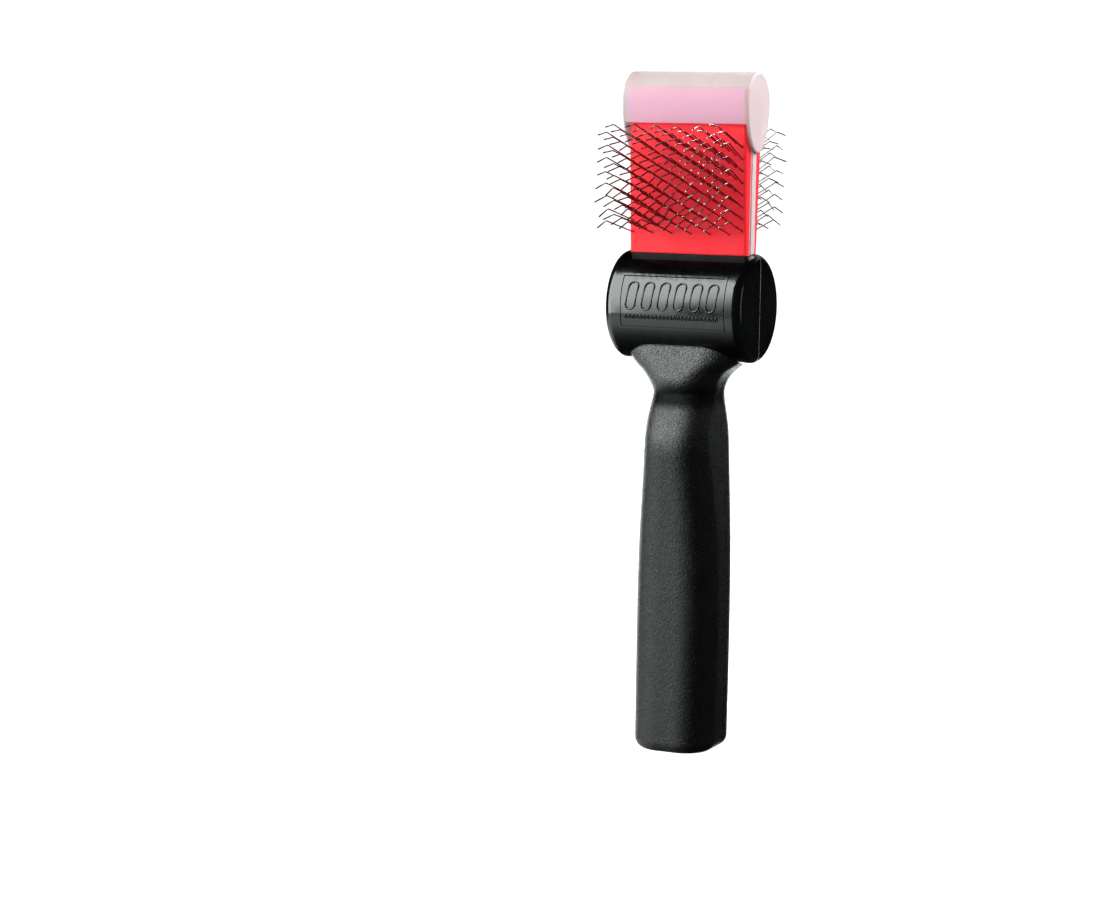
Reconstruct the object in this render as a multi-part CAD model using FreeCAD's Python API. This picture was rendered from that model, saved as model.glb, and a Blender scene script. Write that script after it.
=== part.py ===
import FreeCAD, Part
import math
import os
from FreeCAD import Vector

# Double-sided flexible dematting brush.
# A hollow black drum stands on a moulded grip. A wire-pinned paddle rocks in the drum, and rubber returns it.
# Millimetres. Everything is drawn about the drum's axis, which runs along X, and is raised by axis_height as
# it is saved, so that the row's origin is the middle of the butt. The front faces -Y.

# ---- overall sizes ----
axis_height = 138.5          # drum axis above the butt
drum_radius = 17.0
pad_width = 38.8
paddle_reach = 67.5          # top of the pads above the drum axis

# ---- drum and handle shells ----
drum_wall = 2.2
drum_end_wall = 2.4
drum_end_round = 2.9
grip_wall = 2.2
butt_round = 3.5
butt_steps = 5
# stations of the neck: drop below the drum's underside, half width, depth forward, depth rearward,
# front corner, rear corner
neck_stations = [
    (-5.5, 20.0, 12.4, 12.3, 11.8, 11.0),
    (-2.5, 19.0, 13.0, 11.6, 11.4, 10.6),
    (0.4, 16.8, 13.6, 10.8, 11.0, 9.8),
    (3.0, 13.5, 14.1, 10.1, 10.3, 8.4),
    (6.0, 11.2, 14.2, 9.6, 9.9, 7.6),
    (9.5, 10.1, 12.5, 9.4, 9.2, 7.1),
    (14.0, 10.1, 14.3, 10.6, 8.4, 7.0),
    (20.0, 10.2, 17.2, 12.8, 8.5, 7.0),
    (25.0, 10.4, 18.2, 13.4, 9.0, 7.0),
    (31.0, 10.9, 17.8, 12.8, 9.4, 7.0),
    (40.0, 11.7, 17.0, 11.8, 9.7, 7.0),
    (51.0, 12.6, 16.3, 10.7, 10.0, 7.0),
]
# stations of the grip: height above the butt, then the same sizes
grip_stations = [
    (40.0, 13.4, 15.7, 9.8, 10.2, 7.0),
    (20.0, 13.3, 15.8, 10.0, 10.1, 7.0),
    (butt_round, 13.1, 16.0, 10.2, 9.9, 7.0),
]
waist_drop = 9.5             # waist below the drum's underside
neck_step = 1.5              # spacing of the sections above the waist
grip_step = 5.0              # and below it
solid_neck = 14.0            # drop below the drum's underside where the grip's hollow starts

# ---- label frame moulded on the drum's front ----
label_half_width = 17.4
label_top = 10.2             # above the drum axis
label_bottom = -6.6
label_line = 0.6
label_proud = 0.3
label_root = 0.5             # depth of the frame's foot in the drum's wall

# ---- case screws and locating pegs ----
screw_shank_r = 1.4
screw_head_r = 2.8
screw_head_height = 1.8
screw_seat = 4.0             # head seat behind the parting plane
screw_reach = 7.0            # tip in front of the parting plane
screw_clearance = 0.2        # hole round the shank in the rear shell
recess_clearance = 0.3       # round the head
pilot_clearance = 0.05
pilot_end_gap = 0.6
head_round = 0.5             # of the head's height
recess_depth = 0.55          # of the head's height
recess_half = 0.62           # of the head's radius
recess_width = 0.14          # of the head's radius
boss_r = 3.6
neck_screw_x = 5.5
neck_screw_drop = 5.0
upper_screw_drop = 40.0
lower_screw_height = 20.0    # above the butt
peg_height = 50.0            # above the butt
peg_r = 1.5
peg_length = 3.0
peg_clearance = 0.05
peg_end_gap = 0.3

# ---- paddle: plate, backing sheets, cushions ----
plate_thickness = 3.0
plate_edge = 0.4             # plate proud of the pads at each side
tail_half_width = 15.0
tail_gap = 1.8               # between the tail's end and the drum's wall
backing_thickness = 0.5
pad_gap_under_drum = 0.8     # pads start this far inside the drum's radius
cushion_bottom_thickness = 2.4
cushion_top_thickness = 5.3
pad_corner = 1.2

# ---- flex ----
swing = 15.0                 # degrees each way
running_gap = 0.3            # between the rocker and the drum
slot_end_gap = 0.6           # between the plate's edges and the slot's ends
lip_margin = 2.0             # degrees between a pad's corner and the slot's lip at full swing

# ---- rocker ----
rocker_wall = 2.2
rocker_half_block = 6.0
rocker_foot = 4.0            # block's underside below the axis
land_inset = 0.3
land_gap = 0.1
tail_side_gap = 0.2
rocker_screw_r = 1.25
rocker_screw_pitch = 9.0
rocker_screw_z = 6.0
rocker_screw_head_r = 2.3
rocker_screw_head_height = 1.5
rocker_screw_reach = 5.0
pivot_r = 2.5
pivot_engagement = 3.3       # in the rocker
pivot_bore_clearance = 0.05
bearing_r = 5.0
bearing_depth = 1.5          # bore into the drum's end wall
pivot_end_gap = 0.1
pivot_chamfer = 0.3

# ---- return buffers ----
buffer_half_width = 13.5
buffer_top = -6.5
buffer_bottom = -11.8
buffer_outer = 8.0
rib_margin = 0.6

# ---- wire pins ----
pin_r = 0.22
pin_columns = 18
pin_rows = 8
pin_side_margin = 1.2        # outer columns in from the pad's edge
first_row = 6.4              # lowest pin above the pad's bottom edge
last_row = 5.8               # highest pin below the cap's lip
twill_step = 1.22            # each column of a group of three starts this much higher
twill_group = 3
leg_out = 14.5               # base to knee
leg_rise_low = 3.4
leg_rise_high = 4.9
tip_out = 6.5                # knee to tip
tip_fall_low = 1.9
tip_fall_high = 1.1
pin_lean = -0.8
pin_splay = 1.8
pin_hole_clearance = 0.03
pin_root_gap = 0.1           # between a pin's root and the backing sheet
hole_past_root = 1.0         # its hole goes on through the cushion's underside

# ---- silicone end cap ----
cap_top = 72.3               # above the drum axis
cap_lip = 56.4
cap_cheek_bottom = 47.6
cap_half_depth = 9.2
cap_cheek = 1.2
cap_fit = 0.05
cap_round = 0.8

# ---- worked out ----
plate_half = plate_thickness / 2
plate_half_width = pad_width / 2 + plate_edge
cavity_r = drum_radius - drum_wall
cavity_half = plate_half_width + slot_end_gap
drum_half = cavity_half + drum_end_wall
rocker_r = cavity_r - running_gap
pad_bottom = drum_radius - pad_gap_under_drum
pad_face_bottom = plate_half + backing_thickness + cushion_bottom_thickness
pad_face_top = plate_half + backing_thickness + cushion_top_thickness
lip_angle = math.degrees(math.atan2(pad_face_bottom, pad_bottom)) + swing + lip_margin
rocker_half = cavity_half - bearing_depth
pivot_inner = rocker_half - pivot_engagement
pivot_outer = cavity_half + bearing_depth
waist = drum_radius + waist_drop
big = 4 * axis_height
past = 1.0                   # how far cutting tools run past a surface


def save(name, shape):
    """Raise a shape to the row's frame and write it."""
    placed = shape.copy()
    placed.translate(Vector(0, 0, axis_height))
    placed.exportStep("parts/" + name + ".step")


def box(low, high):
    size = Vector(*high) - Vector(*low)
    return Part.makeBox(size.x, size.y, size.z, Vector(*low))


def rod_x(radius, start, end, y=0.0, z=0.0):
    return Part.makeCylinder(radius, end - start, Vector(start, y, z), Vector(1, 0, 0))


def rod_y(radius, start, end, x, z):
    return Part.makeCylinder(radius, end - start, Vector(x, start, z), Vector(0, 1, 0))


def half_space(side):
    """The half of space in front of (-1) or behind (+1) the parting plane."""
    low = 0.0 if side > 0 else -big
    return box((-big, low, -big), (big, low + big, big))


def sector_x(angle, half_length):
    """A wedge about +Z, angle degrees each way from the drum's axis."""
    reach = 3 * drum_radius
    across = reach * math.tan(math.radians(angle))
    corners = [Vector(-half_length, 0, 0), Vector(-half_length, -across, reach)]
    corners += [Vector(-half_length, across, reach), Vector(-half_length, 0, 0)]
    return Part.Face(Part.makePolygon(corners)).extrude(Vector(2 * half_length, 0, 0))


def pad_face(z):
    """Distance of a pad's outer face from the paddle's mid-plane."""
    share = (z - pad_bottom) / (paddle_reach - pad_bottom)
    return pad_face_bottom + share * (pad_face_top - pad_face_bottom)


# ---------------------------------------------------------------- handle

def grip_section(z, half_width, front, rear, front_corner, rear_corner):
    """Rounded section of the handle at height z."""
    w, f, r, c, d = half_width, front, rear, front_corner, rear_corner
    front_cut = c * (1 - math.sqrt(0.5))
    rear_cut = d * (1 - math.sqrt(0.5))
    sides = [
        ((-w, r - d), (-w, c - f), (front_cut - w, front_cut - f), (c - w, -f)),
        ((c - w, -f), (w - c, -f), (w - front_cut, front_cut - f), (w, c - f)),
        ((w, c - f), (w, r - d), (w - rear_cut, r - rear_cut), (w - d, r)),
        ((w - d, r), (d - w, r), (rear_cut - w, r - rear_cut), (-w, r - d)),
    ]
    edges = []
    for start, straight_end, arc_middle, arc_end in sides:
        start, straight_end, arc_middle, arc_end = [
            Vector(x, y, z) for x, y in (start, straight_end, arc_middle, arc_end)]
        edges.append(Part.LineSegment(start, straight_end).toShape())
        edges.append(Part.Arc(straight_end, arc_middle, arc_end).toShape())
    return Part.Wire(edges)


def stations():
    """The handle's stations: distance below the drum axis, then the sizes of the section there."""
    rows = [(drum_radius + drop, *sizes) for drop, *sizes in neck_stations]
    return rows + [(axis_height - up, *sizes) for up, *sizes in grip_stations]


def smooth_curve(column):
    """A smooth curve through one column of the stations; its parameter is the distance below the axis."""
    curve = Part.BSplineCurve()
    curve.interpolate(Points=[Vector(row[0], row[column], 0) for row in stations()],
                      Parameters=[row[0] for row in stations()])
    return curve


def handle_loft(inset, start, end, step):
    """Solid of the handle between two distances below the axis, shrunk by inset all round."""
    curves = [smooth_curve(column) for column in (1, 2, 3, 4, 5)]
    spans = math.ceil((end - start) / step)
    rows = []
    for i in range(spans + 1):
        below = start + (end - start) * i / spans
        rows.append((-below, *[curve.value(below).y - inset for curve in curves]))
    return loft(rows)


def butt_sections():
    """The last station, drawn in along a quarter circle."""
    up, *sizes = grip_stations[-1]
    rows = []
    for step in range(butt_steps + 1):
        a = math.pi / 2 * step / butt_steps
        inset = butt_round * (1 - math.cos(a))
        rows.append((-axis_height + butt_round * (1 - math.sin(a)), *[size - inset for size in sizes]))
    return rows


def loft(rows):
    return Part.makeLoft([grip_section(*row) for row in rows], True, False)


def handle_outside():
    drum = rod_x(drum_radius, -drum_half, drum_half)
    rims = [e for e in drum.Edges if isinstance(e.Curve, Part.Circle)]
    drum = drum.makeFillet(drum_end_round, rims)
    neck = handle_loft(0.0, stations()[0][0], waist, neck_step)
    grip = handle_loft(0.0, waist, axis_height - butt_round, grip_step)
    return drum.fuse([neck, grip, loft(butt_sections())]).removeSplitter()


def screw_places():
    neck_z = -drum_radius - neck_screw_drop
    places = [(-neck_screw_x, neck_z), (neck_screw_x, neck_z)]
    places.append((0.0, -drum_radius - upper_screw_drop))
    places.append((0.0, lower_screw_height - axis_height))
    return places


def label_frame():
    band = rod_x(drum_radius + label_proud, -label_half_width, label_half_width)
    band = band.cut(rod_x(drum_radius - label_root, -drum_half, drum_half))
    inner = label_half_width - label_line
    outside = box((-label_half_width, -big, label_bottom), (label_half_width, 0, label_top))
    window = box((-inner, -big, label_bottom + label_line), (inner, 0, label_top - label_line))
    return band.common(outside.cut(window))


def buffer_rib(side):
    """The wall inside the drum that a return buffer bears on."""
    low_y, high_y = sorted((side * buffer_outer, side * drum_radius))
    low = (-buffer_half_width, low_y, buffer_bottom - rib_margin)
    high = (buffer_half_width, high_y, buffer_top + rib_margin)
    return box(low, high).common(rod_x(drum_radius - drum_wall / 2, -cavity_half, cavity_half))


def handle_shell(side, outside):
    shell = outside.common(half_space(side))
    hollow = handle_loft(grip_wall, drum_radius + solid_neck, axis_height - butt_round, grip_step)
    shell = shell.cut([rod_x(cavity_r, -cavity_half, cavity_half), hollow])
    slot = sector_x(lip_angle, cavity_half)
    shell = shell.cut(slot)
    additions = [buffer_rib(side)]
    peg_z = peg_height - axis_height
    posts = screw_places() + [(0.0, peg_z)]
    for x, z in posts:
        low, high = sorted((0.0, side * 2 * drum_radius))
        additions.append(rod_y(boss_r, low, high, x, z).common(outside))
    for end in (-1, 1):
        start, stop = sorted((end * (cavity_half - bearing_depth + running_gap), end * (cavity_half + past)))
        additions.append(rod_x(bearing_r, start, stop).common(half_space(side)))
    if side < 0:
        additions.append(label_frame())
    shell = shell.fuse(additions)
    bores = []
    for end in (-1, 1):
        start, stop = sorted((end * (rocker_half - past), end * (pivot_outer + pivot_end_gap)))
        bores.append(rod_x(pivot_r + pivot_bore_clearance, start, stop))
    for x, z in screw_places():
        if side < 0:
            bores.append(rod_y(screw_shank_r + pilot_clearance, -screw_reach - pilot_end_gap, past, x, z))
        else:
            bores.append(rod_y(screw_shank_r + screw_clearance, -past, screw_seat + past, x, z))
            bores.append(rod_y(screw_head_r + recess_clearance, screw_seat, 2 * drum_radius, x, z))
    if side < 0:
        bores.append(rod_y(peg_r + peg_clearance, -peg_length - peg_end_gap, past, 0, peg_z))
    shell = shell.cut(bores)
    if side > 0:
        shell = shell.fuse(rod_y(peg_r, -peg_length, past, 0, peg_z))
    return shell.removeSplitter()


def screw_along_y(x, z, seat, reach, shank, head, head_height):
    """A pan-headed screw with a cross recess. Its head is behind seat and its tip is reach in front."""
    body = rod_y(shank, -reach, seat, x, z).fuse(rod_y(head, seat, seat + head_height, x, z))
    rims = [e for e in body.Edges if isinstance(e.Curve, Part.Circle)]
    outer = [e for e in rims if abs(e.Curve.Center.y - seat - head_height) < 1e-6]
    body = body.makeFillet(head_round * head_height, outer)
    half = recess_half * head
    width = recess_width * head
    top = seat + head_height
    for w, h in ((half, width), (width, half)):
        recess = box((x - w, top - recess_depth * head_height, z - h), (x + w, top + past, z + h))
        body = body.cut(recess)
    return body


# ---------------------------------------------------------------- paddle

def plate_outline():
    """The flexible plate: wide between the pads, narrow where the rocker grips it."""
    tail_end = -(cavity_r - tail_gap)
    wide = box((-plate_half_width, -plate_half, pad_bottom), (plate_half_width, plate_half, paddle_reach))
    tail = box((-tail_half_width, -plate_half, tail_end), (tail_half_width, plate_half, pad_bottom + past))
    plate = wide.fuse(tail).removeSplitter()
    corners = []
    for e in plate.Edges:
        low, high = e.Vertexes[0].Point, e.Vertexes[-1].Point
        across = abs(low.y - high.y) > plate_half
        if across and low.z > paddle_reach - 0.1:
            corners.append(e)
    plate = plate.makeFillet(pad_corner, corners)
    holes = [rod_y(rocker_screw_r + pilot_clearance, -plate_thickness, plate_thickness, x, rocker_screw_z)
             for x in rocker_screw_places()]
    return plate.cut(holes)


def rocker_screw_places():
    return [-rocker_screw_pitch, 0.0, rocker_screw_pitch]


def wedge(side, y_low_bottom, y_low_top, y_high_bottom, y_high_top, half_width, low, high):
    """A slab along X whose two faces may lean; side is -1 at the front."""
    points = [(y_low_bottom, low), (y_high_bottom, low), (y_high_top, high), (y_low_top, high)]
    points.append(points[0])
    ring = [Vector(-half_width, side * y, z) for y, z in points]
    return Part.Face(Part.makePolygon(ring)).extrude(Vector(2 * half_width, 0, 0))


def round_top_corners(slab, radius):
    """Round the two edges that run through the thickness at the slab's top corners."""
    corners = []
    for e in slab.Edges:
        low, high = e.Vertexes[0].Point, e.Vertexes[-1].Point
        if abs(low.x - high.x) < 1e-6 and min(low.z, high.z) > paddle_reach - 1e-3:
            corners.append(e)
    return slab.makeFillet(radius, corners)


def backing_sheet(side):
    outer = plate_half + backing_thickness
    sheet = wedge(side, plate_half, plate_half, outer, outer, pad_width / 2, pad_bottom, paddle_reach)
    return round_top_corners(sheet, pad_corner)


def cushion(side):
    inner = plate_half + backing_thickness
    slab = wedge(side, inner, inner, pad_face_bottom, pad_face_top, pad_width / 2, pad_bottom, paddle_reach)
    slab = round_top_corners(slab, pad_corner)
    holes = []
    for row in range(pin_rows):
        for column in range(pin_columns):
            root, knee, tip = pin_points(side, column, row)
            leg = (knee - root).normalize()
            start = root - leg * hole_past_root
            holes.append(Part.makeCylinder(pin_r + pin_hole_clearance, leg_out, start, leg))
    return slab.cut(holes)


def pin_points(side, column, row):
    """Root, knee and tip of one wire pin."""
    half = pad_width / 2 - pin_side_margin
    x = -half + 2 * half * column / (pin_columns - 1)
    low = pad_bottom + first_row
    twill = twill_step * (-column % twill_group)
    top = cap_lip - last_row - twill_step * (twill_group - 1)
    share = row / (pin_rows - 1)
    z = low + share * (top - low) + twill
    rise = leg_rise_low + share * (leg_rise_high - leg_rise_low)
    fall = tip_fall_low + share * (tip_fall_high - tip_fall_low)
    base = Vector(x, side * pad_face(z), z)
    leg = Vector(pin_lean + pin_splay * x / half, side * leg_out, rise)
    depth = pad_face(z) - plate_half - backing_thickness - pin_root_gap
    knee = base + leg
    tip = knee + Vector(0, side * tip_out, -fall)
    return base - leg * (depth / leg_out), knee, tip


def bent_pin(root, knee, tip):
    path = Part.makePolygon([root, knee, tip])
    ring = Part.Wire(Part.makeCircle(pin_r, root, knee - root))
    return path.makePipeShell([ring], True, False, 1)


def pin_row(side, row):
    return Part.Compound([bent_pin(*pin_points(side, column, row)) for column in range(pin_columns)])


def rocker_half_shell(side):
    """One half of the barrel that grips the plate and closes the slot."""
    cover = lip_angle + swing + lip_margin
    barrel = rod_x(rocker_r, -rocker_half, rocker_half)
    barrel = barrel.cut(rod_x(rocker_r - rocker_wall, -big, big))
    barrel = barrel.common(sector_x(cover, rocker_half))
    block_top = math.sqrt(rocker_r ** 2 - rocker_half_block ** 2)
    low = (-rocker_half, -rocker_half_block, -rocker_foot)
    block = box(low, (rocker_half, rocker_half_block, block_top))
    land_half = pad_face_bottom - land_inset
    land = box((-rocker_half, -land_half, 0), (rocker_half, land_half, pad_bottom - land_gap))
    body = barrel.fuse([block, land]).common(half_space(side))
    slit_half = tail_half_width + tail_side_gap
    slit = box((-slit_half, -plate_half, -big), (slit_half, plate_half, big))
    cuts = [slit]
    for end in (-1, 1):
        start, stop = sorted((end * pivot_inner, end * (rocker_half + past)))
        cuts.append(rod_x(pivot_r, start, stop))
    pilot_r = rocker_screw_r + pilot_clearance
    pilot_end = -rocker_screw_reach - pilot_end_gap
    for x in rocker_screw_places():
        cuts.append(rod_y(pilot_r, pilot_end, rocker_half_block + past, x, rocker_screw_z))
    return body.cut(cuts).removeSplitter()


def pivot_pin(end):
    start, stop = sorted((end * pivot_inner, end * pivot_outer))
    pin = rod_x(pivot_r, start, stop)
    return pin.makeChamfer(pivot_chamfer, [e for e in pin.Edges if isinstance(e.Curve, Part.Circle)])


def return_buffer(side):
    low_y, high_y = sorted((side * plate_half, side * buffer_outer))
    return box((-buffer_half_width, low_y, buffer_bottom), (buffer_half_width, high_y, buffer_top))


def cap_profile(x):
    """Cheek outline: half round at the top, a long half ellipse below."""
    middle = cap_top - cap_half_depth
    centre = Vector(x, 0, middle)
    left = Vector(x, -cap_half_depth, middle)
    right = Vector(x, cap_half_depth, middle)
    foot = Vector(x, 0, cap_cheek_bottom)
    top = Part.Arc(left, Vector(x, 0, cap_top), right).toShape()
    lower = Part.ArcOfEllipse(Part.Ellipse(foot, right, centre), -math.pi / 2, math.pi / 2).toShape()
    return Part.Face(Part.Wire([top, lower]))


def end_cap():
    half = plate_half_width + cap_fit + cap_cheek
    cap = cap_profile(-half).extrude(Vector(2 * half, 0, 0))
    rims = [e for e in cap.Edges if all(abs(abs(v.X) - half) < 1e-6 for v in e.Vertexes)
            and abs(e.Vertexes[0].X - e.Vertexes[-1].X) < 1e-6]
    cap = cap.makeFillet(cap_round, rims)
    inside = plate_half_width + cap_fit
    window = box((-inside, -big, 0), (inside, big, cap_lip))
    low, high = cap_lip - past, paddle_reach + cap_fit
    at_low, at_high = pad_face(low) + cap_fit, pad_face(high) + cap_fit
    pocket = wedge(1, -at_low, -at_high, at_low, at_high, inside, low, high)
    return cap.cut([window, pocket]).removeSplitter()


# ---------------------------------------------------------------- write every piece

outside = handle_outside()
save("handle_front_shell", handle_shell(-1, outside))
save("handle_rear_shell", handle_shell(1, outside))
case_screws = [screw_along_y(x, z, screw_seat, screw_reach, screw_shank_r, screw_head_r, screw_head_height)
               for x, z in screw_places()]
save("case_screws", Part.Compound(case_screws))
save("front_return_buffer", return_buffer(-1))
save("rear_return_buffer", return_buffer(1))

save("paddle_plate", plate_outline())
rocker_screws = [screw_along_y(x, rocker_screw_z, rocker_half_block, rocker_screw_reach, rocker_screw_r,
                               rocker_screw_head_r, rocker_screw_head_height)
                 for x in rocker_screw_places()]
save("rocker_screws", Part.Compound(rocker_screws))
save("left_pivot_pin", pivot_pin(-1))
save("right_pivot_pin", pivot_pin(1))
save("end_cap", end_cap())
for side, name in ((-1, "front"), (1, "rear")):
    save(name + "_rocker_half", rocker_half_shell(side))
    save(name + "_backing_sheet", backing_sheet(side))
    save(name + "_cushion", cushion(side))
    for row in range(pin_rows):
        save("%s_pin_row_%d" % (name, row + 1), pin_row(side, row))
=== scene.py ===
import math
import random

import bmesh
import bpy
from mathutils import Matrix, Vector


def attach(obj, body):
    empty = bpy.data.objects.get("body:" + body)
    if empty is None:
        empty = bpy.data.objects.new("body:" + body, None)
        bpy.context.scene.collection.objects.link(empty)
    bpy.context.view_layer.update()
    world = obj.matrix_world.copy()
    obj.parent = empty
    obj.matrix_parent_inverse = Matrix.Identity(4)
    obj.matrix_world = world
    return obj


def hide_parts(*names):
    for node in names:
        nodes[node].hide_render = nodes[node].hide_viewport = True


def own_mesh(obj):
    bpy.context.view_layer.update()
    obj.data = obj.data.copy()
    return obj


# Double-sided flexible dematting brush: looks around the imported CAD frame. Metres, front faces -Y.

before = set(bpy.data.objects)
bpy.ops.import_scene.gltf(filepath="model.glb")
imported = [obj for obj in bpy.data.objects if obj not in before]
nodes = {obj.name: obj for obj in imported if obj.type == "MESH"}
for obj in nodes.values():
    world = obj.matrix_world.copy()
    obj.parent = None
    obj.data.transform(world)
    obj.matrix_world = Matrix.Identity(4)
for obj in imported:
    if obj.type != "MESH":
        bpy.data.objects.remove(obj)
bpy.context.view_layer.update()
scene = bpy.context.scene
scene.view_settings.view_transform = "Standard"
MM = 0.001

# ---- sizes in millimetres about the drum's axis; most of them are shared with the CAD ----
AXIS = 138.5                 # drum axis above the butt
DRUM_R = 17.0
PAD_HALF_WIDTH = 19.4
PAD_BOTTOM = 16.2
PAD_TOP = 67.5
PAD_BACK = 2.0               # cushion's back, from the paddle's mid-plane
FACE_BOTTOM = 4.4            # cushion's face, from the paddle's mid-plane
FACE_TOP = 7.3
PAD_CORNER = 1.2
CAP_LIP = 56.4
POCKET_HALF_WIDTH = 20.0     # inside the cap
CHEEK_START = 20.3           # from here out the cap is solid
GRAIN_TOP = -7.5             # the grain starts this far below the axis
WAIST = -27.4
BULGE_BOTTOM = -37.0         # below this the grip's gloss falls
PIN_R = 0.22
COLUMNS = 18
ROWS = 8
PIN_MARGIN = 1.2             # outermost pins in from the pad's edge
FIRST_ROW = 6.4              # lowest pins above the pad's bottom
LIP_GAP = 5.8                # highest pins below the cap's lip
STAGGER = 1.22               # rise from one pin to the next, three to a run
LEG_REACH = 14.5
FOOT_REACH = 6.5
TIP_LIMIT = 27.3             # farthest a tip stands from the paddle's mid-plane


# ------------------------------------------------------------------ materials

def add(tree, kind, inputs=None, **settings):
    """A shader node; each input is a number, a colour or another node's socket."""
    made = tree.nodes.new("ShaderNode" + kind)
    for key, value in settings.items():
        setattr(made, key, value)
    for key, value in (inputs or {}).items():
        if isinstance(value, bpy.types.NodeSocket):
            tree.links.new(value, made.inputs[key])
        else:
            made.inputs[key].default_value = value
    return made


def rgb(r, g, b):
    """A display colour, 0 to 255, as linear RGBA."""
    def linear(v):
        v /= 255
        return v / 12.92 if v <= 0.04045 else ((v + 0.055) / 1.055) ** 2.4
    return (linear(r), linear(g), linear(b), 1.0)


def material(name, **constants):
    """A material with constants on its shader: the material, its node tree and the shader."""
    made = bpy.data.materials.new(name)
    made.use_nodes = True
    shader = made.node_tree.nodes["Principled BSDF"]
    for key, value in constants.items():
        shader.inputs[key.replace("_", " ")].default_value = value
    return made, made.node_tree, shader


def place(tree):
    """The position in the object's own frame."""
    return add(tree, "TexCoord").outputs["Object"]


def noise(tree, scale, detail=2.0, rough=0.5, where=None):
    """Noise whose features are about scale millimetres across."""
    inputs = {"Vector": where or place(tree), "Scale": 1 / (scale * MM), "Detail": detail, "Roughness": rough}
    return add(tree, "TexNoise", inputs).outputs["Fac"]


def stretch(tree, value, low, high, new_low=0.0, new_high=1.0):
    """value from low..high, eased to new_low..new_high."""
    inputs = {"Value": value, "From Min": low, "From Max": high, "To Min": new_low, "To Max": new_high}
    return add(tree, "MapRange", inputs, interpolation_type="SMOOTHSTEP").outputs["Result"]


def math_node(tree, operation, a, b=0.0):
    return add(tree, "Math", {0: a, 1: b}, operation=operation).outputs[0]


def blend_colours(tree, factor, first, second):
    made = add(tree, "Mix", {"Factor": factor}, data_type="RGBA")
    for socket, value in (("A", first), ("B", second)):
        target = [s for s in made.inputs if s.name == socket and s.type == "RGBA"][0]
        if isinstance(value, bpy.types.NodeSocket):
            tree.links.new(value, target)
        else:
            target.default_value = value
    return [s for s in made.outputs if s.type == "RGBA"][0]


def bump(tree, height, depth, under=None):
    """Bump whose height of 1 stands for depth millimetres."""
    inputs = {"Height": height, "Distance": depth * MM, "Strength": 1.0}
    if under is not None:
        inputs["Normal"] = under
    return add(tree, "Bump", inputs).outputs["Normal"]


def wire(tree, shader, **sockets):
    """Link sockets to the shader's inputs of the same names."""
    for key, value in sockets.items():
        tree.links.new(value, shader.inputs[key.replace("_", " ")])


def black_plastic():
    """Polished drum, spark-grained neck and grip, with the line where the two shells meet.

    The gloss falls towards the drum's slot, in the waist and below the grip's bulge.
    """
    made, tree, shader = material("black_plastic", IOR=1.5)
    where = place(tree)
    split = add(tree, "SeparateXYZ", {"Vector": where})
    up = math_node(tree, "SUBTRACT", split.outputs["Z"], AXIS * MM)
    flat = add(tree, "CombineXYZ", {"Y": split.outputs["Y"], "Z": up})
    from_axis = add(tree, "VectorMath", {0: flat.outputs[0]}, operation="LENGTH").outputs["Value"]
    outside = stretch(tree, from_axis, (DRUM_R + 0.03) * MM, (DRUM_R + 0.2) * MM)
    below = stretch(tree, up, GRAIN_TOP * MM, (GRAIN_TOP - 0.5) * MM)
    grained = math_node(tree, "MULTIPLY", outside, below)
    smudge = noise(tree, 9.0, 3.0, 0.6, where)
    grit = noise(tree, 0.3, 2.0, 0.6, where)
    pits = noise(tree, 0.55, 1.0, 0.5, where)
    polish = stretch(tree, smudge, 0.35, 0.7, 0.12, 0.2)
    satin = stretch(tree, grit, 0.35, 0.65, 0.2, 0.32)
    rough = add(tree, "Mix", {"Factor": grained, "A": polish, "B": satin}).outputs["Result"]
    colour = blend_colours(tree, stretch(tree, smudge, 0.3, 0.75), rgb(3, 3, 4), rgb(6, 7, 8))
    colour = blend_colours(tree, math_node(tree, "MULTIPLY", grained, stretch(tree, grit, 0.5, 0.7)),
                           colour, rgb(7, 8, 9))
    seam = stretch(tree, math_node(tree, "ABSOLUTE", split.outputs["Y"]), 0.14 * MM, 0.5 * MM)
    colour = blend_colours(tree, seam, rgb(1, 1, 1), colour)
    grain = math_node(tree, "MULTIPLY", math_node(tree, "ADD", grit, pits), grained)
    ripple = noise(tree, 5.0, 1.0, 0.4, where)
    normal = bump(tree, ripple, 0.02)
    normal = bump(tree, grain, 0.22, under=normal)
    normal = bump(tree, seam, 0.3, under=normal)
    drum_gloss = stretch(tree, up, 9.0 * MM, 13.5 * MM, 0.75, 0.06)
    grip_gloss = stretch(tree, up, (BULGE_BOTTOM - 10.0) * MM, BULGE_BOTTOM * MM, 0.46, 1.0)
    from_waist = math_node(tree, "ABSOLUTE", math_node(tree, "ADD", up, -WAIST * MM))
    waist_gloss = stretch(tree, from_waist, 1.5 * MM, 5.0 * MM, 0.1, 1.0)
    grip_gloss = math_node(tree, "MULTIPLY", grip_gloss, waist_gloss)
    gloss = add(tree, "Mix", {"Factor": grained, "A": drum_gloss, "B": grip_gloss}).outputs["Result"]
    wire(tree, shader, Base_Color=colour, Roughness=rough, Normal=normal, Specular_IOR_Level=gloss)
    return made


def moulded(name, dark, light, low=0.3, high=0.45, grain=0.5, depth=0.02, **constants):
    """Moulded plastic or rubber: slight mottling, fine grain."""
    made, tree, shader = material(name, **constants)
    cloud = noise(tree, 4.0, 3.0, 0.6)
    grit = noise(tree, grain, 2.0, 0.6)
    wire(tree, shader, Base_Color=blend_colours(tree, stretch(tree, cloud, 0.3, 0.7), dark, light),
         Roughness=stretch(tree, cloud, 0.3, 0.7, low, high), Normal=bump(tree, grit, depth))
    return made


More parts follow.
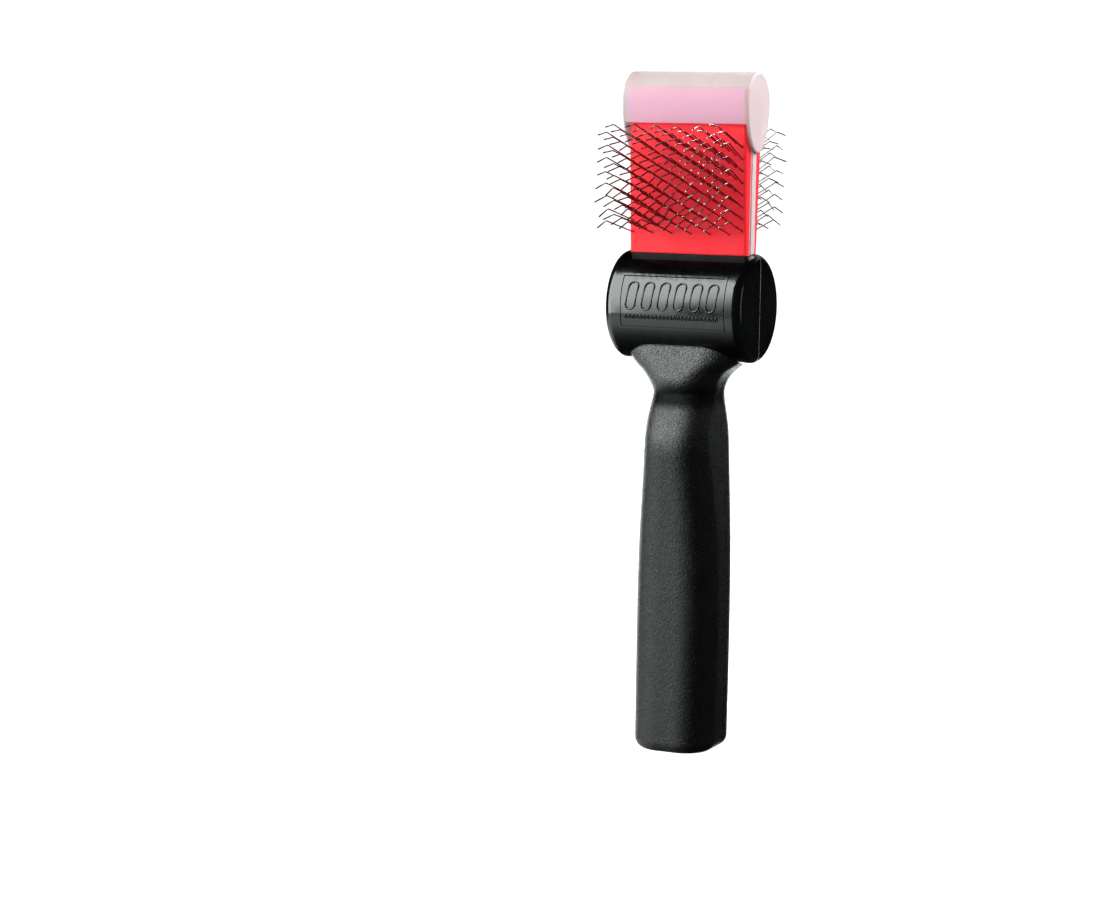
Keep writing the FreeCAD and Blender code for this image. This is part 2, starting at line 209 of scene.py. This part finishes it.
def foam():
    """Red foam pad: matte skin with fine cells and faint blotches."""
    made, tree, shader = material("red_cushion", Sheen_Weight=0.12, Sheen_Roughness=0.5)
    cloud = noise(tree, 7.0, 3.0, 0.55)
    cells = add(tree, "TexVoronoi", {"Vector": place(tree), "Scale": 1 / (0.35 * MM)}).outputs["Distance"]
    pores = stretch(tree, cells, 0.1, 0.6)
    colour = blend_colours(tree, stretch(tree, cloud, 0.3, 0.75), rgb(250, 22, 42), rgb(255, 32, 50))
    colour = blend_colours(tree, math_node(tree, "MULTIPLY", pores, 0.35), colour, rgb(236, 14, 32))
    wire(tree, shader, Base_Color=colour, Roughness=stretch(tree, cloud, 0.3, 0.7, 0.62, 0.78),
         Normal=bump(tree, pores, 0.03, under=bump(tree, cloud, 0.06)))
    return made


def steel(name, grey, low, high, streak=1.6, painted_tip_highlights=False):
    """Drawn wire or turned steel, faintly streaked; on request the front tips on the right get a painted
    highlight, a near-white base colour.
    """
    made, tree, shader = material(name, Metallic=1.0)
    cloud = noise(tree, streak, 3.0, 0.6)
    darker = tuple(0.72 * c for c in grey[:3]) + (1.0,)
    base = blend_colours(tree, cloud, darker, grey)
    if painted_tip_highlights:
        # painted highlight: a near-white base colour on the front tips of the right half, in place of
        # reflected light
        split = add(tree, "SeparateXYZ", {"Vector": place(tree)})
        tip = stretch(tree, split.outputs["Y"], -19.5 * MM, -21.5 * MM)
        tip_highlight_mask = math_node(tree, "MULTIPLY", tip, stretch(tree, split.outputs["X"], -2.0 * MM, 12.0 * MM))
        base = blend_colours(tree, tip_highlight_mask, base, rgb(244, 242, 241))
    wire(tree, shader, Base_Color=base, Roughness=stretch(tree, cloud, 0.3, 0.7, low, high),
         Normal=bump(tree, noise(tree, 0.12), 0.006))
    return made


def cloth():
    """Woven backing, seen only at the pads' edges."""
    made, tree, shader = material("backing_cloth")
    weave = []
    for direction in ("X", "Z"):
        bands = add(tree, "TexWave", {"Vector": place(tree), "Scale": 1 / (3.2 * MM), "Distortion": 0.6},
                    bands_direction=direction)
        weave.append(bands.outputs["Fac"])
    threads = math_node(tree, "MAXIMUM", *weave)
    wire(tree, shader, Base_Color=blend_colours(tree, threads, rgb(196, 120, 124), rgb(236, 190, 188)),
         Roughness=stretch(tree, threads, 0.0, 1.0, 0.9, 0.75), Normal=bump(tree, threads, 0.08))
    return made


def silicone():
    """Milky silicone: its walls veil the pad, its inner faces cling clear to it, and its cheeks are solid;
    over the pad the walls carry a painted glow of the pad, a lilac tint.
    """
    made, tree, shader = material("milky_silicone", IOR=1.41)
    where = place(tree)
    split = add(tree, "SeparateXYZ", {"Vector": where})
    across = math_node(tree, "ABSOLUTE", split.outputs["X"])
    deep = math_node(tree, "ABSOLUTE", split.outputs["Y"])
    slope = (FACE_TOP - FACE_BOTTOM) / (PAD_TOP - PAD_BOTTOM)
    above_bottom = math_node(tree, "SUBTRACT", split.outputs["Z"], (AXIS + PAD_BOTTOM) * MM)
    rise = math_node(tree, "MULTIPLY", above_bottom, slope)
    from_pad = math_node(tree, "SUBTRACT", deep, math_node(tree, "ADD", rise, FACE_BOTTOM * MM))
    over_pad = stretch(tree, from_pad, 0.35 * MM, 0.2 * MM)
    below_top = stretch(tree, split.outputs["Z"], (AXIS + PAD_TOP + 0.4) * MM, (AXIS + PAD_TOP + 0.2) * MM)
    between = stretch(tree, across, (POCKET_HALF_WIDTH + 0.2) * MM, POCKET_HALF_WIDTH * MM)
    pocket = math_node(tree, "MULTIPLY", math_node(tree, "MULTIPLY", over_pad, below_top), between)
    past_pad = stretch(tree, across, (PAD_HALF_WIDTH + 0.2) * MM, (PAD_HALF_WIDTH + 0.35) * MM)
    beside = math_node(tree, "MULTIPLY", between, past_pad)
    below_lip = stretch(tree, split.outputs["Z"], (AXIS + CAP_LIP) * MM, (AXIS + CAP_LIP - 0.2) * MM)
    beside = math_node(tree, "MULTIPLY", beside, below_lip)
    clear = math_node(tree, "MAXIMUM", pocket, beside)
    cloud = noise(tree, 11.0, 4.0, 0.6, where)
    dust = stretch(tree, noise(tree, 0.8, 2.0, 0.7, where), 0.62, 0.8)
    colour = blend_colours(tree, stretch(tree, cloud, 0.35, 0.7), rgb(198, 184, 184), rgb(189, 175, 175))
    # painted light: a lilac tint over the pad stands in for the pad's light glowing through the milky wall
    painted_pad_glow = stretch(tree, split.outputs["Z"], (AXIS + PAD_TOP) * MM, (AXIS + PAD_TOP - 0.6) * MM)
    inward = stretch(tree, across, (PAD_HALF_WIDTH + 0.2) * MM, (PAD_HALF_WIDTH - 0.2) * MM)
    painted_pad_glow = math_node(tree, "MULTIPLY", inward, painted_pad_glow)
    colour = blend_colours(tree, painted_pad_glow, colour, rgb(210, 181, 205))
    solid = stretch(tree, across, CHEEK_START * MM, (CHEEK_START + 0.6) * MM)
    colour = blend_colours(tree, solid, colour, rgb(218, 201, 203))
    colour = blend_colours(tree, math_node(tree, "MULTIPLY", dust, 0.25), colour, rgb(160, 140, 144))
    milk = stretch(tree, across, CHEEK_START * MM, (CHEEK_START + 0.6) * MM, 0.64, 0.88)
    veil = add(tree, "Mix", {"Factor": clear, "A": milk, "B": 0.06}).outputs["Result"]
    wire(tree, shader, Base_Color=colour, Roughness=stretch(tree, cloud, 0.3, 0.7, 0.34, 0.5), Alpha=veil,
         Normal=bump(tree, cloud, 0.12, under=bump(tree, noise(tree, 0.5, where=where), 0.008)))
    return made


MATERIALS = {
    "black_plastic": black_plastic(),
    "rocker_plastic": moulded("rocker_plastic", rgb(5, 5, 6), rgb(10, 10, 11), 0.5, 0.65,
                              Specular_IOR_Level=0.2),
    "grey_plate": moulded("grey_plate", rgb(200, 188, 189), rgb(214, 202, 203), 0.42, 0.55, 0.6, 0.02),
    "red_cushion": foam(),
    "backing_cloth": cloth(),
    "wire_steel": steel("wire_steel", rgb(120, 112, 116), 0.16, 0.28, painted_tip_highlights=True),
    "pin_steel": steel("pin_steel", rgb(190, 190, 192), 0.25, 0.4),
    "dark_steel": steel("dark_steel", rgb(92, 93, 96), 0.3, 0.48, 0.8),
    "buffer_rubber": moulded("buffer_rubber", rgb(24, 23, 23), rgb(38, 36, 36), 0.7, 0.85, 0.3, 0.05),
    "milky_silicone": silicone(),
}

for node in nodes.values():
    for holder in node.material_slots:
        holder.material = MATERIALS[holder.material.name.split(".")[0]]


# ------------------------------------------------------------------ meshes

def point(x, y, z):
    """Millimetres about the drum's axis to metres in the row's frame."""
    return Vector((x * MM, y * MM, (z + AXIS) * MM))


def new_piece(name, mesh, body, slot):
    """A smooth-shaded piece on one of the bodies, with the material of its slot."""
    piece = bpy.data.objects.new(name, mesh)
    scene.collection.objects.link(piece)
    mesh.materials.append(MATERIALS[slot])
    mesh.polygons.foreach_set("use_smooth", [True] * len(mesh.polygons))
    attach(piece, body)
    return piece


def mesh_from(name, verts, faces):
    """A mesh whose faces all look outward."""
    mesh = bpy.data.meshes.new(name)
    mesh.from_pydata(verts, [], faces)
    shape = bmesh.new()
    shape.from_mesh(mesh)
    bmesh.ops.recalc_face_normals(shape, faces=shape.faces)
    shape.to_mesh(mesh)
    shape.free()
    return mesh


def tube(path, radius, sides, verts, faces):
    """A round wire along path, its ends slightly rounded; appended to verts and faces."""
    blunt = 0.4              # share of the radius that each end is rounded by
    rings = []
    last = len(path) - 1
    reference = Vector((1, 0, 0))
    stations = [(path[0], radius * (1 - blunt))]
    step = radius * blunt
    stations.append((path[0] + (path[1] - path[0]).normalized() * step, radius))
    stations += [(p, radius) for p in path[1:-1]]
    stations.append((path[last] + (path[last - 1] - path[last]).normalized() * step, radius))
    stations.append((path[last], radius * (1 - blunt)))
    for i, (centre, size) in enumerate(stations):
        ahead = stations[min(i + 1, len(stations) - 1)][0] - stations[max(i - 1, 0)][0]
        ahead.normalize()
        across = reference - ahead * reference.dot(ahead)
        across.normalize()
        other = ahead.cross(across)
        first = len(verts)
        for k in range(sides):
            a = 2 * math.pi * k / sides
            verts.append(centre + (across * math.cos(a) + other * math.sin(a)) * size)
        rings.append(first)
    for first, second in zip(rings, rings[1:]):
        for k in range(sides):
            following = (k + 1) % sides
            faces.append((first + k, first + following, second + following, second + k))
    faces.append(tuple(range(rings[0], rings[0] + sides)))
    faces.append(tuple(range(rings[-1], rings[-1] + sides)))


# ---- wire pins ----

def pad_face(z):
    """The cushion's face at a height, from the paddle's mid-plane."""
    share = (z - PAD_BOTTOM) / (PAD_TOP - PAD_BOTTOM)
    return FACE_BOTTOM + share * (FACE_TOP - FACE_BOTTOM)


def pin_points(side, column, row):
    """Root, base, knee and tip of one wire pin, in millimetres about the drum's axis."""
    half = PAD_HALF_WIDTH - PIN_MARGIN
    x = -half + 2 * half * column / (COLUMNS - 1)
    share = row / (ROWS - 1)
    low = PAD_BOTTOM + FIRST_ROW
    high = CAP_LIP - LIP_GAP - 2 * STAGGER
    z = low + share * (high - low) + STAGGER * (-column % 3)
    base = Vector((x, side * pad_face(z), z))
    leg = Vector((-0.8 + 1.8 * x / half, side * LEG_REACH, 3.4 + 1.5 * share))
    knee = base + leg
    tip = knee + Vector((0, side * FOOT_REACH, -1.9 + 0.8 * share))
    root = base - leg * (pad_face(z) - PAD_BACK - 0.1) / LEG_REACH
    return root, base, knee, tip


def bent_wires(side, row, name, rng):
    """One row of pins, each with its own small error of bending; a few are knocked out of line."""
    verts, faces = [], []
    for column in range(COLUMNS):
        root, base, knee, tip = pin_points(side, column, row)
        knee += Vector((rng.gauss(0, 0.22), side * rng.gauss(0, 0.12), rng.gauss(0, 0.2)))
        tip += Vector((rng.gauss(0, 0.5), side * rng.gauss(0, 0.12), rng.gauss(0, 0.28)))
        knocked = column >= COLUMNS - 5 and row >= ROWS - 2
        if knocked and rng.random() < 0.5:
            swing = rng.uniform(-2.4, 2.4)
            knee.x += 0.5 * swing
            tip.x += swing
            tip.z += rng.uniform(-1.0, 2.0)
        tip.y = side * min(side * tip.y, TIP_LIMIT)
        leg, foot = (root - knee).normalized(), (tip - knee).normalized()
        bend = [knee + leg * 0.55, knee + (leg + foot) * 0.17, knee + foot * 0.55]
        path = [point(*p) for p in [root, base, *bend, tip]]
        tube(path, PIN_R * MM, 8, verts, faces)
    piece = new_piece(name, mesh_from(name, verts, faces), "paddle", "wire_steel")
    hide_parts(name.replace("wires", "pin"))


wobble = random.Random(11)
for side, face_name in ((-1, "front"), (1, "rear")):
    for row in range(ROWS):
        bent_wires(side, row, "%s_wires_row_%d" % (face_name, row + 1), wobble)


# ---- foam pads ----

def spread(low, high, step, edge_steps):
    """Coordinates from low to high, close together near both ends."""
    near = [low + e for e in edge_steps]
    far = [high - e for e in reversed(edge_steps)]
    count = max(2, round((far[0] - near[-1]) / step))
    middle = [near[-1] + (far[0] - near[-1]) * i / count for i in range(1, count)]
    return near + middle + far


def edge_drop(distance, radius):
    """How far a rounded edge falls at a distance in from it."""
    if distance >= radius:
        return 0.0
    return radius - math.sqrt(max(0.0, radius ** 2 - (radius - distance) ** 2))


def foam_pad(side, name, rng):
    """A pad with rounded rims, a soft crown and a pucker round the foot of each wire."""
    edge = [0.0, 0.06, 0.16, 0.3, 0.48, 0.7, 0.9]
    grid = 0.42
    xs = spread(-PAD_HALF_WIDTH, PAD_HALF_WIDTH, grid, edge)
    zs = spread(PAD_BOTTOM, PAD_TOP, grid, edge)
    feet = [pin_points(side, column, row)[1] for row in range(ROWS) for column in range(COLUMNS)]
    waves = [(rng.uniform(-0.5, 0.5), rng.uniform(-0.5, 0.5), rng.uniform(0, 6.3)) for _ in range(6)]
    verts, faces = [], []
    columns = len(xs)
    corner_x, corner_z = PAD_HALF_WIDTH - PAD_CORNER, PAD_TOP - PAD_CORNER

    def outline(x, z):
        """Round the two top corners of the outline."""
        if abs(x) <= corner_x or z <= corner_z:
            return x, z
        dx, dz = abs(x) - corner_x, z - corner_z
        scale = max(dx, dz) / math.hypot(dx, dz)
        return math.copysign(corner_x + dx * scale, x), corner_z + dz * scale

    def face_height(x, z):
        """The face without its puckers: rounded rims and a slight swell."""
        drop = edge_drop(PAD_HALF_WIDTH - abs(x), 0.8) + edge_drop(z - PAD_BOTTOM, 0.5)
        drop += edge_drop(PAD_TOP - z, 0.8)
        swell = sum(math.sin(a * x + b * z + c) for a, b, c in waves) * 0.012
        return pad_face(z) - min(drop, 0.9) + swell

    near_feet = {}
    for foot in feet:
        near_feet.setdefault((round(foot.x / 2), round(foot.z / 2)), []).append(foot)
    for z in zs:
        for x in xs:
            height = face_height(x, z)
            for i in (-1, 0, 1):
                for j in (-1, 0, 1):
                    for foot in near_feet.get((round(x / 2) + i, round(z / 2) + j), ()):
                        gap = math.hypot(x - foot.x, z - foot.z)
                        height -= 0.34 * math.exp(-(gap / 0.5) ** 2)
                        height += 0.07 * math.exp(-((gap - 0.95) / 0.4) ** 2)
            px, pz = outline(x, z)
            verts.append(point(px, side * height, pz))
    for j in range(len(zs) - 1):
        for i in range(columns - 1):
            a = j * columns + i
            faces.append((a, a + 1, a + columns + 1, a + columns))
    rim = list(range(columns))
    rim += [j * columns + columns - 1 for j in range(1, len(zs))]
    rim += [(len(zs) - 1) * columns + i for i in range(columns - 2, -1, -1)]
    rim += [j * columns for j in range(len(zs) - 2, 0, -1)]
    back = []
    for index in rim:
        corner = verts[index]
        back.append(len(verts))
        verts.append(Vector((corner.x, side * (PAD_BACK + 0.01) * MM, corner.z)))
    count = len(rim)
    for k in range(count):
        following = (k + 1) % count
        faces.append((rim[k], rim[following], back[following], back[k]))
    faces.append(tuple(back))
    mesh = mesh_from(name, verts, faces)
    pad = new_piece(name, mesh, "paddle", "red_cushion")
    mesh.polygons[len(faces) - 1].use_smooth = False
    mesh.set_sharp_from_angle(angle=math.radians(50))
    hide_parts(name.replace("foam_pad", "cushion"))


foam_rng = random.Random(5)
foam_pad(-1, "front_foam_pad", foam_rng)
foam_pad(1, "rear_foam_pad", foam_rng)


# ---- return buffers ----

def rubber_block(name, low, high, crown):
    """A rubber block with rounded edges and softly bulging faces."""
    shape = bmesh.new()
    bmesh.ops.create_cube(shape, size=1.0)
    size = [h - l for l, h in zip(low, high)]
    middle = [(h + l) / 2 for l, h in zip(low, high)]
    bmesh.ops.scale(shape, vec=Vector(size), verts=shape.verts)
    bmesh.ops.bevel(shape, geom=list(shape.edges), offset=0.5, segments=3, profile=0.5, affect="EDGES")
    bmesh.ops.subdivide_edges(shape, edges=list(shape.edges), cuts=2, use_grid_fill=True)
    for vert in shape.verts:
        u = min(1.0, abs(vert.co.x) / (size[0] / 2))
        w = min(1.0, abs(vert.co.y) / (size[1] / 2))
        vert.co.z *= 1 + crown * (1 - u ** 4) * (1 - w ** 2) / (size[2] / 2)
    for vert in shape.verts:
        vert.co = point(*(vert.co + Vector(middle)))
    mesh = bpy.data.meshes.new(name)
    shape.to_mesh(mesh)
    shape.free()
    return mesh


for side, face_name in ((-1, "front"), (1, "rear")):
    low_y, high_y = sorted((side * 1.52, side * 7.98))
    name = face_name + "_rubber_block"
    block = rubber_block(name, (-13.4, low_y, -11.7), (13.4, high_y, -6.6), 0.25)
    rubber = new_piece(name, block, "handle", "buffer_rubber")
    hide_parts(face_name + "_return_buffer")
    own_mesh(rubber)


# ---- plain raised ornament inside the label frame ----

def drum_spot(x, along, proud):
    """A place on the drum's front: along is measured round the drum from its foremost line."""
    a = along / DRUM_R
    r = DRUM_R + proud
    return point(x, -r * math.cos(a), r * math.sin(a))


def drum_ridge(outline, width, height, verts, faces):
    """A closed low ridge along an outline of (x, along) points on the drum."""
    count = len(outline)
    profile = [(-0.5, -0.1), (-0.32, 0.75), (0.0, 1.0), (0.32, 0.75), (0.5, -0.1)]
    first = len(verts)
    for i, (x, along) in enumerate(outline):
        before, after = outline[i - 1], outline[(i + 1) % count]
        dx, da = after[0] - before[0], after[1] - before[1]
        length = math.hypot(dx, da)
        nx, na = -da / length, dx / length
        for offset, rise in profile:
            verts.append(drum_spot(x + nx * offset * width, along + na * offset * width, rise * height))
    each = len(profile)
    for i in range(count):
        for k in range(each - 1):
            a = first + i * each + k
            b = first + ((i + 1) % count) * each + k
            faces.append((a, b, b + 1, a + 1))
        a = first + i * each
        b = first + ((i + 1) % count) * each
        faces.append((a + each - 1, b + each - 1, b, a))


def lozenge(cx, cy, half_width, half_height, lean, steps=10):
    """A leaning rounded-end outline."""
    points = []
    for end in (1, -1):
        for i in range(steps + 1):
            a = math.pi * i / steps
            x = end * half_width * math.cos(a)
            y = end * (half_height - half_width + half_width * math.sin(a))
            points.append((cx + x + lean * y, cy + y))
    return points


verts, faces = [], []
for i in range(6):
    drum_ridge(lozenge(-13.2 + 5.3 * i, 3.6, 1.55, 4.3, 0.12), 0.66, 0.4, verts, faces)
new_piece("label_ovals", mesh_from("label_ovals", verts, faces), "handle", "black_plastic")
verts, faces = [], []
for i in range(25):
    drum_ridge(lozenge(-15.0 + 1.25 * i, -3.0, 0.32, 0.6, 0.0, 5), 0.34, 0.34, verts, faces)
new_piece("label_dashes", mesh_from("label_dashes", verts, faces), "handle", "black_plastic")


# ------------------------------------------------------------------ stage, light, camera

def cyclorama():
    """A pale floor that curves up into a wall all round."""
    profile = [(0.0, 0.0), (0.4, 0.0), (1.0, 0.0), (1.8, 0.0)]
    profile += [(1.8 + 0.9 * math.sin(a), 0.9 * (1 - math.cos(a)))
                for a in [math.pi / 2 * k / 10 for k in range(1, 11)]]
    profile.append((2.7, 3.2))
    verts, faces, turns = [Vector((0, 0, 0))], [], 72
    for r, z in profile[1:]:
        for k in range(turns):
            a = 2 * math.pi * k / turns
            verts.append(Vector((r * math.cos(a), r * math.sin(a), z)))
    for k in range(turns):
        faces.append((0, 1 + k, 1 + (k + 1) % turns))
    for j in range(len(profile) - 2):
        for k in range(turns):
            a, b = 1 + j * turns + k, 1 + j * turns + (k + 1) % turns
            faces.append((a, b, b + turns, a + turns))
    mesh = mesh_from("studio_floor", verts, faces)
    mesh.polygons.foreach_set("use_smooth", [True] * len(mesh.polygons))
    floor = bpy.data.objects.new("studio_floor", mesh)
    scene.collection.objects.link(floor)
    made, tree, shader = material("studio_paper", Roughness=0.95)
    cloud = noise(tree, 400.0, 2.0, 0.5)
    wire(tree, shader, Base_Color=blend_colours(tree, cloud, rgb(246, 246, 246), rgb(249, 249, 249)))
    shader.inputs["Emission Color"].default_value = (1.0, 1.0, 1.0, 1.0)
    shader.inputs["Emission Strength"].default_value = 1.0
    mesh.materials.append(made)
    floor.visible_glossy = False
    floor.visible_diffuse = False


cyclorama()


def softbox(name, azimuth, elevation, distance, width, height, radiance, colour=(1, 1, 1), mirrored=True):
    """A rectangular light aimed at the object: azimuth 0 is in front of it and 90 is to its right."""
    lamp = bpy.data.lights.new(name, "AREA")
    lamp.shape = "RECTANGLE"
    lamp.size, lamp.size_y = width, height
    lamp.energy = math.pi * radiance * width * height
    lamp.color = colour
    held = bpy.data.objects.new(name, lamp)
    scene.collection.objects.link(held)
    a, e = math.radians(azimuth), math.radians(elevation)
    out = Vector((math.sin(a) * math.cos(e), -math.cos(a) * math.cos(e), math.sin(e)))
    held.location = Vector((0, 0, 0.15)) + out * distance
    held.rotation_mode = "QUATERNION"
    held.rotation_quaternion = out.to_track_quat("Z", "Y")
    held.visible_camera = False
    held.visible_glossy = mirrored
    return held


softbox("key_softbox", -43, 20, 0.8, 0.62, 1.2, 6.6, (0.94, 1.0, 0.97))
softbox("front_fill", 40, 12, 0.9, 0.6, 0.6, 3.2, mirrored=False)
softbox("right_fill", 116, 36, 0.9, 0.6, 0.6, 11.0, mirrored=False)
softbox("right_strip", 98, 4, 0.9, 0.2, 0.5, 0.9)
softbox("back_spark", 182, 46, 0.9, 0.55, 0.3, 9.0).visible_diffuse = False


def studio_air():
    """Dim surroundings with a pale table at the front left, and light behind and to the back left."""
    world = bpy.data.worlds.new("studio_air")
    world.use_nodes = True
    tree = world.node_tree
    way = add(tree, "TexCoord").outputs["Generated"]
    height = add(tree, "SeparateXYZ", {"Vector": way}).outputs["Z"]

    def facing(azimuth, start, end):
        a = math.radians(azimuth)
        towards = (math.sin(a), -math.cos(a), 0.0)
        share = add(tree, "VectorMath", {0: way, 1: towards}, operation="DOT_PRODUCT").outputs["Value"]
        return stretch(tree, share, start, end)

    below = stretch(tree, height, -0.18, -0.42)
    low = math_node(tree, "MULTIPLY", below, stretch(tree, height, -0.98, -0.55, 0.15, 1.0))
    table = math_node(tree, "MULTIPLY", low, stretch(tree, facing(-76, 0.3, 0.7), 0.0, 1.0, 0.02, 1.5))
    raised = stretch(tree, height, 0.22, 0.36, 0.0, 1.6)
    behind = math_node(tree, "MULTIPLY", facing(176, 0.8, 0.95), raised)
    lowered = stretch(tree, height, 0.3, 0.0, 0.0, 3.5)
    back_left = math_node(tree, "MULTIPLY", facing(206, 0.86, 0.95), lowered)
    strength = math_node(tree, "ADD", table, behind)
    strength = math_node(tree, "ADD", strength, math_node(tree, "ADD", back_left, 0.012))
    shade = tree.nodes["Background"]
    shade.inputs["Color"].default_value = (0.93, 1.0, 0.98, 1.0)
    tree.links.new(strength, shade.inputs["Strength"])
    scene.world = world


studio_air()

# the viewpoint: right of the front and a little above, rolled so that the object leans slightly
AZIMUTH, PITCH, ROLL = (math.radians(v) for v in (22.43, 5.62, 1.19))
back = Vector((math.sin(AZIMUTH) * math.cos(PITCH), -math.cos(AZIMUTH) * math.cos(PITCH), math.sin(PITCH)))
level = Vector((math.cos(AZIMUTH), math.sin(AZIMUTH), 0))
upright = level.cross(-back)
right = level * math.cos(ROLL) + upright * math.sin(ROLL)
up = upright * math.cos(ROLL) - level * math.sin(ROLL)
lens = bpy.data.cameras.new("viewpoint")
lens.lens = 84.9
lens.sensor_width = 36.0
lens.shift_x = -0.125
lens.shift_y = -0.0371
lens.clip_start, lens.clip_end = 0.05, 20.0
camera = bpy.data.objects.new("viewpoint", lens)
scene.collection.objects.link(camera)
camera.matrix_world = Matrix((
    (right.x, up.x, back.x, 0.3087),
    (right.y, up.y, back.y, -0.7476),
    (right.z, up.z, back.z, 0.1856),
    (0, 0, 0, 1),
))
scene.camera = camera
